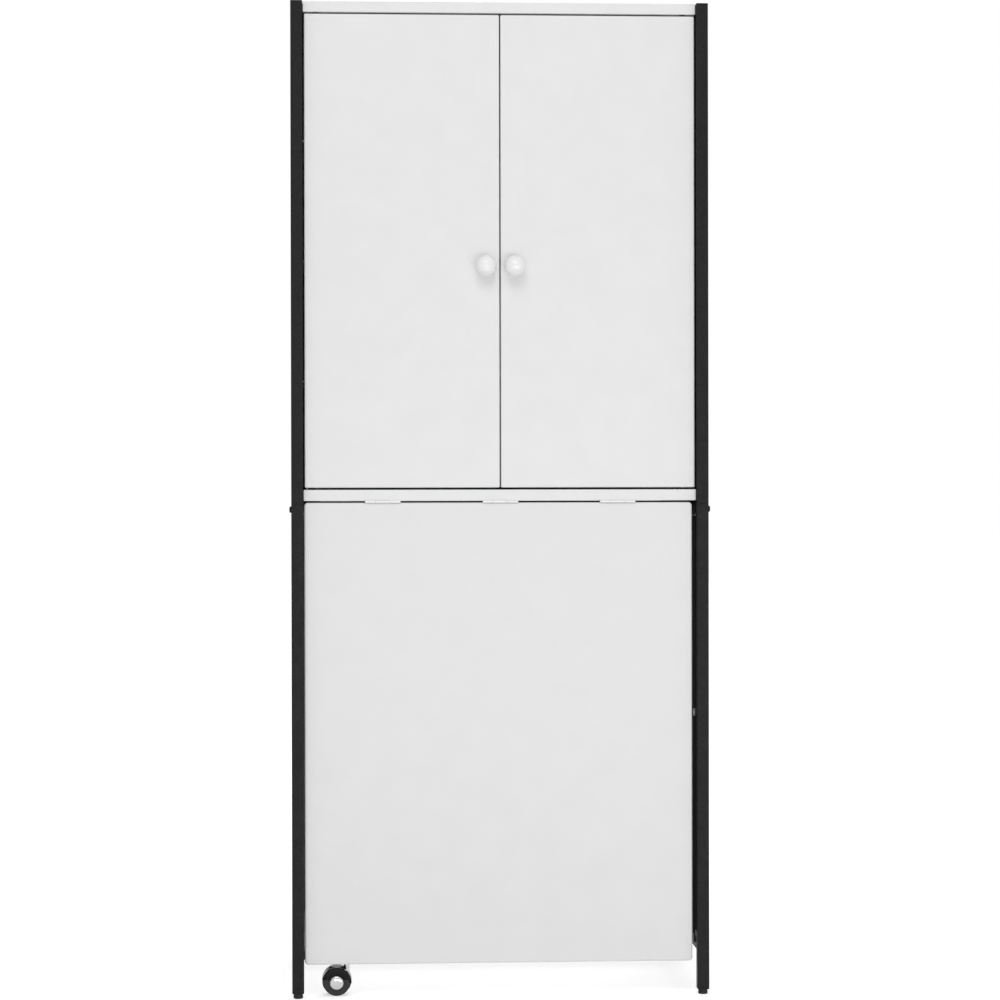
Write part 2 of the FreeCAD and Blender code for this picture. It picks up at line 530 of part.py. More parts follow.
def leaf_and_hinges():
    """The drop leaf and three butt hinges, folded shut in the gap under the table board."""
    upper_plates, lower_plates, pins, upper_screws, lower_screws = [], [], [], [], []
    middle = "(hinge_length - 2 * knuckle)"
    shoulder = "(knuckle + knuckle_gap)"
    high_plate = f"({TABLE_LOW} - hinge_plate)"
    for i in (-1, 0, 1):
        centre = f"({i} * hinge_pitch)"
        left = f"({centre} - hinge_length / 2)"
        right = f"({left} + hinge_length)"
        line = (left, HINGE_Y, HINGE_Z)
        outer = [(left, "knuckle"), (f"{right} - knuckle", "knuckle")]
        inner = [(f"{left} + {shoulder}", f"{middle} - 2 * knuckle_gap")]
        middle_notch = [(f"{left} + knuckle", middle)]
        end_notches = [(left, shoulder), (f"{right} - {shoulder}", shoulder)]
        # Half, foot of its plate, face and way of its screws, own knuckles and notches, and its two lists
        halves = (("upper", high_plate, high_plate, "z", outer, middle_notch, upper_plates, upper_screws),
                  ("lower", LEAF_TOP, f"({LEAF_TOP} + hinge_plate)", "-z", inner, end_notches, lower_plates,
                   lower_screws))
        for half, low, start, way, own, notches, plates, screws in halves:
            name = f"{half}_hinge{i + 1}"
            whole, tools = hinge_half(name, left, low, own, notches)
            fixings, sinks = hinge_screws(name, centre, start, way)
            tools.append(rod(f"{name}_bore", line, "x", "barrel_pin + run_gap", "hinge_length"))
            plates.append(cut(name, whole, tools + sinks))
            screws += fixings
        pins.append(rod(f"leaf_hinge_pin{i + 1}", line, "x", "barrel_pin", "hinge_length"))
    keep("upper_hinge_plates", group("upper_hinge_plates", upper_plates))
    keep("lower_hinge_plates", group("lower_hinge_plates", lower_plates))
    keep("leaf_hinge_pins", group("leaf_hinge_pins", pins))
    keep("upper_hinge_screws", group("upper_hinge_screws", upper_screws))
    keep("lower_hinge_screws", group("lower_hinge_screws", lower_screws))

    blank = slab("leaf_blank", (f"leaf_left - {INSIDE}", FACE, LEAF_LOW),
                 (f"2 * {INSIDE} - leaf_left - leaf_right", "leaf", f"{LEAF_TOP} - {LEAF_LOW}"), "leaf_round",
                 "leaf_corner")
    holes = [rod(f"leaf_hole{i}", (x, y, LEAF_TOP), "-z", "hinge_screw + fit_gap",
                 "hinge_screw_length + fit_gap") for i, (x, y) in enumerate(hinge_screw_spots())]
    keep("leaf_panel", cut("leaf_panel", blank, holes))


def gate():
    """A tubular gate behind the leaf: it turns on pins at the right and stands on a caster at the left."""
    y = f"({GATE_Y} - tube / 2)"
    post = tube("gate_post", (f"{GATE_X} - tube / 2", y, "gate_foot"), f"({GATE_TOP} - gate_foot)", "z")
    leg = tube("gate_leg", (f"{LEG_X} - tube / 2", y, LEG_FOOT), f"({GATE_TOP} - {LEG_FOOT})", "z")
    arm = f"({GATE_X} - {LEG_X} - tube)"
    arms = [tube(f"gate_arm{i}", (f"{LEG_X} + tube / 2", y, z), arm, "x")
            for i, z in enumerate(("gate_foot", f"({GATE_TOP} - tube)"))]
    keep("gate_frame", fuse("gate_frame", [post, leg, *arms]))

    brackets, pins, bushes = [], [], []
    for end, z, into, out in (("low", "gate_foot", "z", "-z"), ("high", GATE_TOP, "-z", "z")):
        sign = "1" if end == "low" else "-1"
        # The flat of the bracket lies one rest gap off the end of the gate post
        flat_mid = f"({z} - {sign} * (rest_gap + bracket / 2))"
        front = f"{GATE_Y} - bracket_width / 2"
        flat = box(f"{end}_bracket_flat", (f"{INSIDE} - bracket_reach", front, f"{flat_mid} - bracket / 2"),
                   ("bracket_reach", "bracket_width", "bracket"))
        wall_tall = "(bracket + bracket_drop)"
        wall_low = f"{flat_mid} + bracket / 2 - {wall_tall}" if end == "low" else f"{flat_mid} - bracket / 2"
        wall = box(f"{end}_bracket_wall", (f"{INSIDE} - bracket_wall", front, wall_low),
                   ("bracket_wall", "bracket_width", wall_tall))
        spot = (GATE_X, GATE_Y, f"{z} - {sign} * (rest_gap + bracket)")
        hole = rod(f"{end}_bracket_hole", spot, into, "gate_pin + fit_gap", "bracket")
        brackets.append(cut(f"{end}_bracket", fuse(f"{end}_bracket_body", [flat, wall]), [hole]))
        pins.append(rod(f"{end}_gate_pin", spot, into, "gate_pin", "bracket + rest_gap + gate_pin_reach"))
        low = z if end == "low" else f"{z} - gate_bush"
        block = plug_box(f"{end}_gate_bush_block", (GATE_X, GATE_Y), PLUG, low, "gate_bush")
        bore = rod(f"{end}_gate_bush_bore", (GATE_X, GATE_Y, z), into, "gate_pin + run_gap", "gate_bush")
        bushes.append(cut(f"{end}_gate_bush", block, [bore]))
    keep("gate_brackets", group("gate_brackets", brackets))
    keep("gate_pins", group("gate_pins", pins))
    keep("gate_bushes", group("gate_bushes", bushes))

    pad = plug_box("leg_cap_pad", (LEG_X, GATE_Y), "tube", GATE_TOP, f"{LEAF_RAISED} - {GATE_TOP} - rest_gap")
    plug = plug_box("leg_cap_plug", (LEG_X, GATE_Y), PLUG, f"{GATE_TOP} - cap_plug", "cap_plug")
    keep("leg_top_cap", fuse("leg_top_cap", [pad, plug]))
    stop_corner = (f"{GATE_X} + tube / 2 - stop_width - tube_round / 2", f"{y} - stop_thick", "stop_height")
    keep("gate_stop", box("gate_stop", stop_corner, ("stop_width", "stop_thick", "stop_tall")))


def is_closed(edge):
    return len(edge.Vertexes) == 1


def wheel_and_cap(name, way, sign):
    """One of the twin wheels and the domed cap over its hub."""
    inner = f"({GATE_Y} + {sign} * (web / 2 + wheel_gap))"
    outer = f"({GATE_Y} + {sign} * (web / 2 + wheel_gap + wheel_width))"
    blank = rod(f"{name}_wheel_blank", (AXLE_X, inner, AXLE_Z), way, "wheel", "wheel_width")
    tread = round_edges(f"{name}_wheel_tread", blank, float(sheet.wheel_round), is_closed)
    bore = rod(f"{name}_wheel_bore", (AXLE_X, inner, AXLE_Z), way, "axle + run_gap", "wheel_width")
    keep(f"{name}_caster_wheel", cut(f"{name}_caster_wheel", tread, [bore]))
    dome_radius = "((cap_radius ^ 2 + cap_rise ^ 2) / (2 * cap_rise))"
    dome = doc.addObject("Part::Sphere", f"{name}_cap_ball")
    bind(dome, Radius=dome_radius)
    place(dome, (AXLE_X, f"{outer} - {sign} * ({dome_radius} - cap_rise)", AXLE_Z))
    disc = rod(f"{name}_cap_disc", (AXLE_X, outer, AXLE_Z), way, "cap_radius", "2 * cap_rise")
    dome_cap = doc.addObject("Part::Common", f"{name}_hub_cap")
    dome_cap.Base = dome
    dome_cap.Tool = disc
    keep(f"{name}_hub_cap", dome_cap)


def hood_cheek(name, way, sign):
    """The hood's side plate over the upper half of a wheel, cut out round the hub cap."""
    inner = f"({GATE_Y} + {sign} * ({HOOD_WIDTH} / 2 - cheek))"
    disc = rod(f"{name}_cheek_disc", (AXLE_X, inner, AXLE_Z), way, HOOD_OUTER, "cheek")
    hole = rod(f"{name}_cheek_hole", (AXLE_X, inner, AXLE_Z), way, "cap_radius + cheek_gap", "cheek")
    corner = (f"{AXLE_X} - 2 * wheel", f"{inner} - 2 * cheek", f"{AXLE_Z} + cheek_rise - 4 * wheel")
    lower = box(f"{name}_cheek_lower", corner, ("4 * wheel", "4 * cheek", "4 * wheel"))
    return cut(f"{name}_cheek", disc, [hole, lower])


def caster():
    """A hooded twin-wheel caster on a plain stem in the foot of the gate leg."""
    keep("caster_stem", rod("caster_stem", (LEG_X, GATE_Y, STEM_LOW), "z", "stem",
                            f"{LEG_FOOT} - {STEM_LOW} + stem_grip"))
    block = plug_box("caster_socket_block", (LEG_X, GATE_Y), PLUG, LEG_FOOT, "socket")
    bore = rod("caster_socket_bore", (LEG_X, GATE_Y, LEG_FOOT), "z", "stem + fit_gap", "stem_grip + fit_gap")
    keep("caster_socket", cut("caster_socket", block, [bore]))

    side = f"({GATE_Y} - {HOOD_WIDTH} / 2)"
    shell = rod("hood_shell", (AXLE_X, side, AXLE_Z), "y", HOOD_OUTER, HOOD_WIDTH)
    hollow = rod("hood_hollow", (AXLE_X, f"{side} - hood", AXLE_Z), "y", HOOD_INNER,
                 f"{HOOD_WIDTH} + 2 * hood")
    below = box("hood_below", (f"{AXLE_X} - 2 * wheel", f"{side} - hood", f"{AXLE_Z} + hood_rise - 2 * wheel"),
                ("4 * wheel", f"{HOOD_WIDTH} + 2 * hood", "2 * wheel"))
    neck = cone("hood_neck", (AXLE_X, GATE_Y, f"{HOOD_TOP} - neck_tall"), "z", "neck_foot", "neck", "neck_tall")
    stem_bore = rod("hood_stem_bore", (LEG_X, GATE_Y, f"{STEM_LOW} - run_gap"), "z", "stem + run_gap",
                    "2 * stem_sink")
    axle_bore = rod("hood_axle_bore", (AXLE_X, f"{GATE_Y} - web", AXLE_Z), "y", "axle + fit_gap", "2 * web")
    arch = cut("hood_arch", fuse("hood_top", [shell, neck]), [hollow, below, stem_bore])
    disc = rod("hood_disc", (AXLE_X, f"{GATE_Y} - web / 2", AXLE_Z), "y", HOOD_OUTER, "web")
    under = box("hood_under", (f"{AXLE_X} - 2 * wheel", f"{GATE_Y} - web", f"{AXLE_Z} - web_drop - 2 * wheel"),
                ("4 * wheel", "2 * web", "2 * wheel"))
    plate = cut("hood_web", disc, [under, stem_bore, axle_bore])
    cheeks = [hood_cheek("front", "-y", "-1"), hood_cheek("rear", "y", "1")]
    keep("caster_hood", fuse("caster_hood", [arch, plate, *cheeks]))

    half = "(web / 2 + wheel_gap + wheel_width - axle_end)"
    keep("caster_axle", rod("caster_axle", (AXLE_X, f"{GATE_Y} - {half}", AXLE_Z), "y", "axle", f"2 * {half}"))
    wheel_and_cap("front", "-y", "-1")
    wheel_and_cap("rear", "y", "1")


frames()
post_joints()
crossbars()
boards()
enclosure()
doors()
leaf_and_hinges()
gate()
caster()
doc.recompute()

for item in doc.Objects:
    if "Invalid" in item.State or "Error" in item.State:
        raise SystemExit(f"{item.Label} did not build: {item.State}")
for label, item in pieces.items():
    if item.Shape.isNull() or not item.Shape.isValid() or not item.Shape.Solids:
        raise SystemExit(f"{label} is not a valid solid")

os.makedirs("parts", exist_ok=True)
for label, item in pieces.items():
    item.Shape.exportStep(f"parts/{label}.step")
print(len(pieces), "pieces written")
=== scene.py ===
"""Looks of the sewing armoire: finishes for every piece, turned and moulded details, studio and camera."""
import json
import math

import bmesh
import bpy
from mathutils import Matrix, Vector


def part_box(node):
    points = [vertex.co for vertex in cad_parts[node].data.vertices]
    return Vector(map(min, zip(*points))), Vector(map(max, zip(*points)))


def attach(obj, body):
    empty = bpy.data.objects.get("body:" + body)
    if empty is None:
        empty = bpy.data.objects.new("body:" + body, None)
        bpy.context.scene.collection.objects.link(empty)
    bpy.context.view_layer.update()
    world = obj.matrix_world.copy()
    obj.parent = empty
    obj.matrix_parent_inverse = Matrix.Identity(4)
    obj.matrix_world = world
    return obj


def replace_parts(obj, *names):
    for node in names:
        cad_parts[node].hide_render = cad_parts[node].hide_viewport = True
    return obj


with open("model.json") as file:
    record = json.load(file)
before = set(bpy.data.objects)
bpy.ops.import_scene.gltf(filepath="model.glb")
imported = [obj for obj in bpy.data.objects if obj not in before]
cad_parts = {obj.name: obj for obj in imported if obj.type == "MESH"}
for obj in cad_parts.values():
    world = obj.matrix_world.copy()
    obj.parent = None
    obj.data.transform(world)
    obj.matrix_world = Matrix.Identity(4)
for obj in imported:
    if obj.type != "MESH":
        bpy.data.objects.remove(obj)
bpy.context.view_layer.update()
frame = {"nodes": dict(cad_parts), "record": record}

MM = 0.001
SIDES = (("left", -1), ("right", 1))
BOARDS = ("table_board", "top_board")


# Node helpers

# The part of a noise pattern's range that moves a colour or a roughness
COLOUR_SPAN = (0.35, 0.65)
ROUGHNESS_SPAN = (0.3, 0.7)


def add(tree, kind, **inputs):
    """Adds a shader node and sets its plain inputs by name."""
    node = tree.nodes.new(kind)
    for name, value in inputs.items():
        node.inputs[name.replace("_", " ")].default_value = value
    return node


def material(name, colour, roughness, metallic=0.0, **sockets):
    """A material with its plain values on the shader's own sockets."""
    mat = bpy.data.materials.new(name)
    mat.use_nodes = True
    shader = mat.node_tree.nodes["Principled BSDF"]
    shader.inputs["Base Color"].default_value = (*colour, 1)
    shader.inputs["Roughness"].default_value = roughness
    shader.inputs["Metallic"].default_value = metallic
    for label, value in sockets.items():
        shader.inputs[label.replace("_", " ")].default_value = value
    return mat


def noise(mat, size, detail, stretch=(1, 1, 1)):
    """A noise pattern whose lumps are about size metres across, in the object's own space."""
    tree = mat.node_tree
    place = tree.nodes.new("ShaderNodeTexCoord")
    shape = add(tree, "ShaderNodeMapping", Scale=stretch)
    tree.links.new(place.outputs["Object"], shape.inputs["Vector"])
    pattern = add(tree, "ShaderNodeTexNoise", Scale=1 / size, Detail=detail, Roughness=0.55)
    tree.links.new(shape.outputs["Vector"], pattern.inputs["Vector"])
    return pattern.outputs["Fac"]


def vary_colour(mat, source, dark, light):
    """Lets the pattern move the base colour between two colours."""
    tree = mat.node_tree
    ramp = tree.nodes.new("ShaderNodeValToRGB")
    for stop, position, colour in zip(ramp.color_ramp.elements, COLOUR_SPAN, (dark, light)):
        stop.position = position
        stop.color = (*colour, 1)
    tree.links.new(source, ramp.inputs["Fac"])
    tree.links.new(ramp.outputs["Color"], tree.nodes["Principled BSDF"].inputs["Base Color"])


def vary_roughness(mat, source, low, high):
    """Lets the pattern move the roughness between two values."""
    tree = mat.node_tree
    first, last = ROUGHNESS_SPAN
    span = add(tree, "ShaderNodeMapRange", From_Min=first, From_Max=last, To_Min=low, To_Max=high)
    tree.links.new(source, span.inputs["Value"])
    tree.links.new(span.outputs["Result"], tree.nodes["Principled BSDF"].inputs["Roughness"])


def bump(mat, source, depth, strength):
    """Raises the surface by the pattern, depth metres at most."""
    tree = mat.node_tree
    node = add(tree, "ShaderNodeBump", Strength=strength, Distance=depth)
    tree.links.new(source, node.inputs["Height"])
    tree.links.new(node.outputs["Normal"], tree.nodes["Principled BSDF"].inputs["Normal"])


def grey(value):
    """A colour without hue."""
    return (value, value, value)


# Finishes. The first number after a pattern's material is the size of its lumps in metres.

def powder_coat():
    """Charcoal powder coat with a fine pebbled texture."""
    mat = material("powder_coat", grey(0.010), 0.52, Specular_IOR_Level=0.15)
    vary_colour(mat, noise(mat, 0.0022, 4), grey(0.006), grey(0.0145))
    vary_roughness(mat, noise(mat, 0.02, 2), 0.44, 0.58)
    bump(mat, noise(mat, 0.0011, 3), 0.00025, 0.55)
    return mat


def melamine(name, shade):
    """White melamine-faced board with a faint orange-peel pressing and a satin sheen."""
    mat = material(name, (shade, shade, shade * 1.004), 0.42, Specular_IOR_Level=0.4)
    vary_colour(mat, noise(mat, 0.06, 3), grey(shade * 0.988), (shade * 1.008, shade * 1.008, shade * 1.014))
    vary_roughness(mat, noise(mat, 0.015, 3), 0.38, 0.47)
    bump(mat, noise(mat, 0.0026, 2), 0.00006, 0.35)
    return mat


def hardboard():
    """White-faced hardboard, a little warmer and rougher than the boards."""
    mat = material("hardboard", (0.74, 0.735, 0.72), 0.6)
    vary_colour(mat, noise(mat, 0.006, 4), (0.728, 0.722, 0.706), (0.752, 0.748, 0.735))
    bump(mat, noise(mat, 0.0016, 4), 0.00012, 0.5)
    return mat


def enamel():
    """White enamelled steel."""
    mat = material("white_enamel", grey(0.9), 0.3)
    vary_colour(mat, noise(mat, 0.01, 2), grey(0.885), grey(0.915))
    vary_roughness(mat, noise(mat, 0.004, 3), 0.25, 0.36)
    bump(mat, noise(mat, 0.002, 2), 0.00004, 0.4)
    return mat


def glossy_white():
    """Glossy white moulded plastic."""
    mat = material("glossy_white", grey(0.86), 0.14, Coat_Weight=0.5, Coat_Roughness=0.06)
    vary_colour(mat, noise(mat, 0.02, 2), grey(0.845), grey(0.875))
    bump(mat, noise(mat, 0.006, 2), 0.00005, 0.25)
    return mat


def zinc(name, shade):
    """Zinc plate with faint rolled streaks."""
    mat = material(name, grey(shade), 0.34, metallic=1.0)
    vary_colour(mat, noise(mat, 0.003, 4), grey(shade * 0.84), grey(shade * 1.13))
    vary_roughness(mat, noise(mat, 0.002, 3, (1, 1, 0.15)), 0.26, 0.42)
    bump(mat, noise(mat, 0.0012, 3), 0.00004, 0.4)
    return mat


def moulded(name, shade, low, high, gloss=0.5, peel=0.0016):
    """Moulded plastic in one shade of grey, its roughness between low and high, with a fine pebble."""
    mat = material(name, grey(shade), (low + high) / 2, Specular_IOR_Level=gloss)
    vary_colour(mat, noise(mat, 0.004, 3), grey(shade * 0.85), grey(shade * 1.15))
    vary_roughness(mat, noise(mat, 0.008, 3), low, high)
    bump(mat, noise(mat, peel, 3), 0.00008, 0.4)
    return mat


def chrome():
    """Polished chrome with the slightest haze."""
    mat = material("chrome", grey(0.54), 0.07, metallic=1.0)
    vary_roughness(mat, noise(mat, 0.006, 3), 0.05, 0.11)
    bump(mat, noise(mat, 0.01, 2), 0.00003, 0.2)
    return mat


FINISH = {
    "black_steel": powder_coat(),
    "white_board": melamine("melamine", 0.80),
    "back_board": hardboard(),
    "white_enamel": enamel(),
    "white_knob": glossy_white(),
    "zinc_steel": zinc("zinc_plate", 0.6),
    "black_plastic": moulded("black_nylon", 0.012, 0.5, 0.62, 0.25),
    "white_plastic": moulded("white_nylon", 0.8, 0.42, 0.55),
    "caster_black": moulded("gloss_black", 0.004, 0.16, 0.26, 0.12, 0.004),
    "chrome": chrome(),
}
WHEEL_GREY = moulded("wheel_grey", 0.024, 0.4, 0.52, 0.25)
# Nodes that the photograph shows a little darker or lighter than the rest of their slot
OWN_FINISH = {
    "front_caster_wheel": WHEEL_GREY,
    "rear_caster_wheel": WHEEL_GREY,
    "leaf_panel": melamine("leaf_melamine", 0.775),
    # The gate stop's zinc is made darker than plain zinc: painted shade of the narrow gap it sits in
    "gate_stop": zinc("gap_shade_zinc", 0.13),
}
SLOT_OF = {part["node"]: part["material_slot"] for part in frame["record"]["subparts"]}
BODY_OF = {node: body for body, nodes in frame["record"]["behaviour"]["bodies"].items() for node in nodes}


def finish_of(node):
    """The material of a CAD node and of the piece that stands for it."""
    return OWN_FINISH.get(node, FINISH[SLOT_OF[node]])


def dress_cad():
    """Gives every CAD node its finish."""
    for name, node in frame["nodes"].items():
        node.data.materials.clear()
        node.data.materials.append(finish_of(name))


# Shapes, all in millimetres in the CAD's frame. Profiles are lists of (radius, height).

def cad_box(node):
    """Lowest and highest corner of a CAD node."""
    low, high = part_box(node)
    return Vector(low) / MM, Vector(high) / MM


def facing(spot, way):
    """A place at spot whose own Z points along way."""
    return Matrix.Translation(Vector(spot)) @ Vector(way).to_track_quat("Z", "Y").to_matrix().to_4x4()


def join(bm, low, high):
    """Faces between two rings of points; either may be a single point."""
    for i in range(max(len(low), len(high))):
        corners = (low[i % len(low)], low[(i + 1) % len(low)], high[(i + 1) % len(high)], high[i % len(high)])
        corners = list(dict.fromkeys(corners))
        if len(corners) > 2:
            bm.faces.new(corners)


def stack(bm, rings):
    """A closed shape through rings of points, with a flat face at each end."""
    for low, high in zip(rings, rings[1:]):
        join(bm, low, high)
    bm.faces.new(rings[0])
    bm.faces.new(rings[-1])


def at(value, angle):
    """A value that is a number or a function of the angle."""
    return value(angle) if callable(value) else value


def lathe(bm, profile, place, steps=48):
    """Turns a profile about the place's own Z. A radius or height may be a function of the angle."""
    rings = []
    returns = profile[0] == profile[-1]
    for radius, height in profile[:-1] if returns else profile:
        if radius == 0:
            rings.append([bm.verts.new(place @ Vector((0, 0, height)))])
            continue
        ring = []
        for i in range(steps):
            angle = math.tau * i / steps
            r = at(radius, angle)
            point = Vector((r * math.cos(angle), r * math.sin(angle), at(height, angle)))
            ring.append(bm.verts.new(place @ point))
        rings.append(ring)
    if returns:
        rings.append(rings[0])
    for low, high in zip(rings, rings[1:]):
        join(bm, low, high)


def sector(bm, outline, place, span, steps):
    """Sweeps a closed profile about an axis; span(radius) gives its first and last angle."""
    rings = []
    for i in range(steps + 1):
        ring = []
        for radius, height in outline:
            first, last = span(radius)
            angle = first + (last - first) * i / steps
            point = Vector((radius * math.cos(angle), radius * math.sin(angle), height))
            ring.append(bm.verts.new(place @ point))
        rings.append(ring)
    stack(bm, rings)


def arc(centre, radii, start, stop, count):
    """Points along an elliptic arc, from start to stop degrees."""
    points = []
    for i in range(count + 1):
        angle = math.radians(start + (stop - start) * i / count)
        points.append((centre[0] + radii[0] * math.cos(angle), centre[1] + radii[1] * math.sin(angle)))
    return points


def mirrored(profile):
    """The profile on the other side of height 0, in reverse."""
    return [(radius, -height) for radius, height in reversed(profile)]


def hexagon(apothem):
    """Radius of a hexagon at an angle."""
    return lambda angle: apothem / math.cos((angle + math.pi / 6) % (math.pi / 3) - math.pi / 6)


def cross(reach, half):
    """Radius of a cross with arms of that reach and half width at an angle."""
    def radius(angle):
        c, s = max(abs(math.cos(angle)), 1e-6), max(abs(math.sin(angle)), 1e-6)
        return max(min(reach / c, half / s), min(half / c, reach / s))
    return radius


def block(bm, low, high, ease, segments=2):
    """A box with eased edges."""
    part = bmesh.new()
    bmesh.ops.create_cube(part, size=1)
    low, high = Vector(low), Vector(high)
    for vert in part.verts:
        vert.co = Vector(((low[i] + high[i]) / 2 + vert.co[i] * (high[i] - low[i]) for i in range(3)))
    bmesh.ops.bevel(part, geom=part.edges[:], offset=ease, segments=segments, profile=0.5, affect="EDGES")
    mesh = bpy.data.meshes.new("part")
    part.to_mesh(mesh)
    part.free()
    bm.from_mesh(mesh)
    bpy.data.meshes.remove(mesh)


CORNER_STEPS = 4


def square_ring(bm, place, side, corner, height):
    """A ring of points round a square with rounded corners."""
    reach = side / 2 - corner
    ring = []
    for quarter, (sx, sy) in enumerate(((1, 1), (-1, 1), (-1, -1), (1, -1))):
        start = 90 * quarter
        for u, v in arc((sx * reach, sy * reach), (corner, corner), start, start + 90, CORNER_STEPS):
            ring.append(bm.verts.new(place @ Vector((u, v, height))))
    return ring


TUBE = 20.0
WALL = 1.5
BORE = TUBE - 2 * WALL
CORNER = 1.2
BORE_CORNER = 0.8
BORE_SHOWN = 14.0
LIP = 0.45
LIP_CORNER = 0.9


def tube(bm, start, end, open_start=False, open_end=False):
    """A square tube from start to end. An open end shows its wall and eased lip; the others butt on something."""
    start, end = Vector(start), Vector(end)
    length = (end - start).length
    place = facing(start, end - start)
    # Side, corner and depth of each ring, from an end inwards
    lip = [(TUBE - 2 * LIP, LIP_CORNER, 0), (TUBE, CORNER, LIP)]
    mouth = [(BORE, BORE_CORNER, BORE_SHOWN), (BORE, BORE_CORNER, LIP), (BORE + LIP, BORE_CORNER + LIP / 2, 0)]
    first = mouth + lip if open_start else lip
    last = mouth + lip if open_end else lip
    rings = [square_ring(bm, place, side, corner, depth) for side, corner, depth in first]
    rings += [square_ring(bm, place, side, corner, length - depth) for side, corner, depth in reversed(last)]
    stack(bm, rings)


WELD_REACH = 8.0
WELD_RADIUS = 1.5
WELD_PITCH = 0.9


def bead(bm, start, end, seed, radius=WELD_RADIUS):
    """A short rippled weld along an inside corner."""
    start, end = Vector(start), Vector(end)
    length = (end - start).length
    count = max(5, round(length / WELD_PITCH))
    profile = [(0, 0)]
    for i in range(count + 1):
        t = i / count
        swell = 1 + 0.14 * math.sin(2.3 * i + seed) + 0.08 * math.sin(5.1 * i + 2 * seed)
        profile.append((radius * swell * min(1, 0.4 + 5 * min(t, 1 - t)), t * length))
    lathe(bm, profile + [(0, length)], facing(start, end - start), 10)


CREASE = math.radians(38)


def piece(name, bm, body, finish):
    """Turns the shape into a piece that rides on a body and takes the finish it is given."""
    bmesh.ops.recalc_face_normals(bm, faces=bm.faces)
    bmesh.ops.scale(bm, vec=(MM, MM, MM), verts=bm.verts)
    mesh = bpy.data.meshes.new(name)
    bm.to_mesh(mesh)
    bm.free()
    for face in mesh.polygons:
        face.use_smooth = True
    mesh.set_sharp_from_angle(angle=CREASE)
    mesh.materials.append(finish)
    obj = bpy.data.objects.new(name, mesh)
    bpy.context.scene.collection.objects.link(obj)
    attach(obj, body)
    return obj


def stand_in(name, bm, node):
    """A piece that takes the place of a CAD node, with the node's body and finish."""
    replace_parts(piece(name, bm, BODY_OF[node], finish_of(node)), node)


# Frames

TAB_REACH = 25.0
TAB_WIDTH = 30.0
TAB_THICK = 2.0
TAB_INSET = 85.0
TAB_SUNK = 1.0
TAB_EASE = 0.4
TAB_WELD_INSET = 2.0
TAB_WELD_RADIUS = 1.1


def side_frames():
    """Welded side frames of rolled tube, with eased cut ends at the seam and weld beads in the open corners."""
    low_rail = cad_box("rear_lower_crossbar")[0].z + TUBE / 2
    for side, sign in SIDES:
        low, high = cad_box(f"{side}_upper_frame")
        foot = cad_box(f"{side}_lower_frame")[0].z
        x = sign * (max(abs(low.x), abs(high.x)) - TUBE / 2)
        front, rear = low.y + TUBE / 2, high.y - TUBE / 2
        seam, top = low.z, high.z
        inner_front, inner_rear = front + TUBE / 2, rear - TUBE / 2

        bm = bmesh.new()
        for y in (front, rear):
            tube(bm, (x, y, seam), (x, y, top), open_start=True)
        for z in (seam + TUBE / 2, top - TUBE / 2):
            tube(bm, (x, inner_front, z), (x, inner_rear, z))
        face = x - sign * TUBE / 2
        reach = sorted((face + sign * TAB_SUNK, face - sign * TAB_REACH))
        for board in BOARDS:
            z = cad_box(board)[0].z
            below = z - TAB_THICK
            for y in (low.y + TAB_INSET, high.y - TAB_INSET - TAB_WIDTH):
                block(bm, (reach[0], y, below), (reach[1], y + TAB_WIDTH, z), TAB_EASE)
                bead(bm, (face, y + TAB_WELD_INSET, below), (face, y + TAB_WIDTH - TAB_WELD_INSET, below), y,
                     TAB_WELD_RADIUS)
        stand_in(f"{side}_upper_tubes", bm, f"{side}_upper_frame")

        bm = bmesh.new()
        for y in (front, rear):
            tube(bm, (x, y, foot), (x, y, seam), open_start=True, open_end=True)
        for z in (low_rail, seam - TUBE / 2):
            tube(bm, (x, inner_front, z), (x, inner_rear, z))
        for i, z in enumerate((low_rail - TUBE / 2, low_rail + TUBE / 2, seam - TUBE)):
            for y in (inner_front, inner_rear):
                bead(bm, (x - WELD_REACH, y, z), (x + WELD_REACH, y, z), i + 0.01 * y)
        stand_in(f"{side}_lower_tubes", bm, f"{side}_lower_frame")


def gate_tubes():
    """The gate behind the leaf, welded from the same tube."""
    low, high = cad_box("gate_frame")
    y = (low.y + high.y) / 2
    leg, post = low.x + TUBE / 2, high.x - TUBE / 2
    inner_leg, inner_post = leg + TUBE / 2, post - TUBE / 2
    foot = cad_box("gate_bushes")[0].z
    bm = bmesh.new()
    tube(bm, (leg, y, low.z), (leg, y, high.z), open_start=True, open_end=True)
    tube(bm, (post, y, foot), (post, y, high.z), open_start=True, open_end=True)
    for z in (foot + TUBE / 2, high.z - TUBE / 2):
        tube(bm, (inner_leg, y, z), (inner_post, y, z))
    welds = []
    for i, x in enumerate((inner_leg, inner_post)):
        welds += [(x, z, i + 0.1 * z) for z in (foot + TUBE, high.z - TUBE)]
    for x, z, seed in welds + [(inner_leg, foot, 3)]:
        bead(bm, (x, y - WELD_REACH, z), (x, y + WELD_REACH, z), seed)
    stand_in("gate_tubes", bm, "gate_frame")


COLLAR = TUBE - 0.3
COLLAR_THICK = 1.0
COLLAR_EASE = 0.35
PAD_SUNK = 0.2


